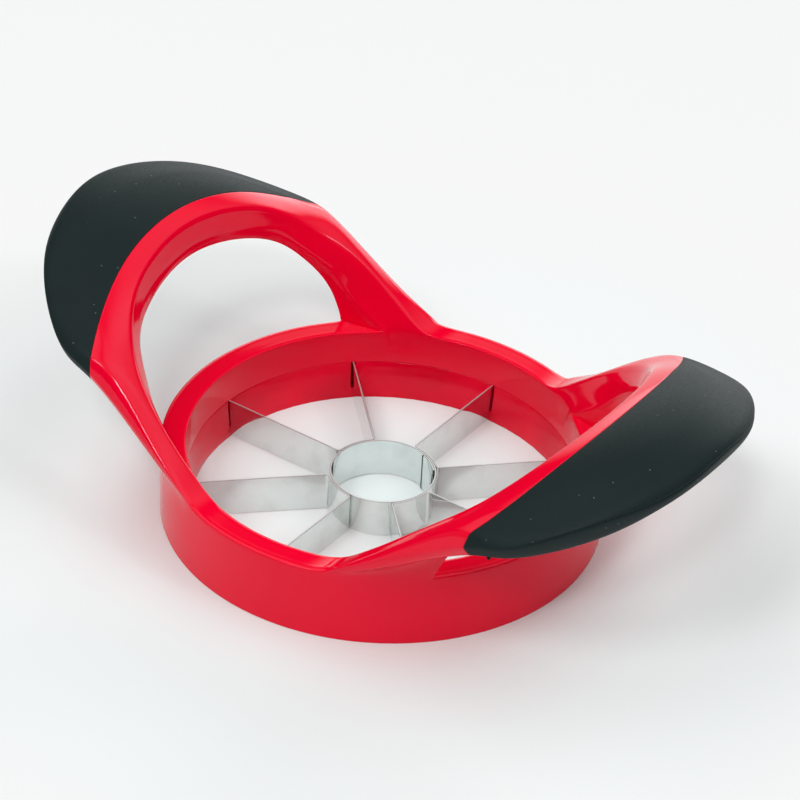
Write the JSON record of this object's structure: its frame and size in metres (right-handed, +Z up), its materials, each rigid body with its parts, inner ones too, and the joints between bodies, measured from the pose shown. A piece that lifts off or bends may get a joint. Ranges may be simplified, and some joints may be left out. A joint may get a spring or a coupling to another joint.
{
  "type": "apple wedger",
  "caption": "Hand-pressed apple slicer: a round moulded frame with two raised soft-grip handles and a steel coring tube with radial blades inside the ring.",
  "frame": {"origin": "centre of the ring on the surface that the tool stands on", "axes": "+X from the ring's centre to one handle, +Z up, away from the cutting edges; the handles are alike"},
  "size_m": [0.1762, 0.104, 0.0578],
  "materials": {
    "red_plastic": "polished injection moulding",
    "carrier_plastic": "polished injection moulding, a little deeper red",
    "blade_steel": "bright rolled stainless strip with ground edges",
    "soft_grip": "fine satin soft-touch elastomer"
  },
  "bodies": {
    "root": {"frame": "red_plastic", "blade_carrier": "carrier_plastic", "core_ring": "blade_steel", "blade_strip_1": "blade_steel", "blade_strip_2": "blade_steel", "blade_strip_3": "blade_steel", "blade_strip_4": "blade_steel", "grip_right": "soft_grip", "grip_left": "soft_grip"}
  },
  "joints": []
}
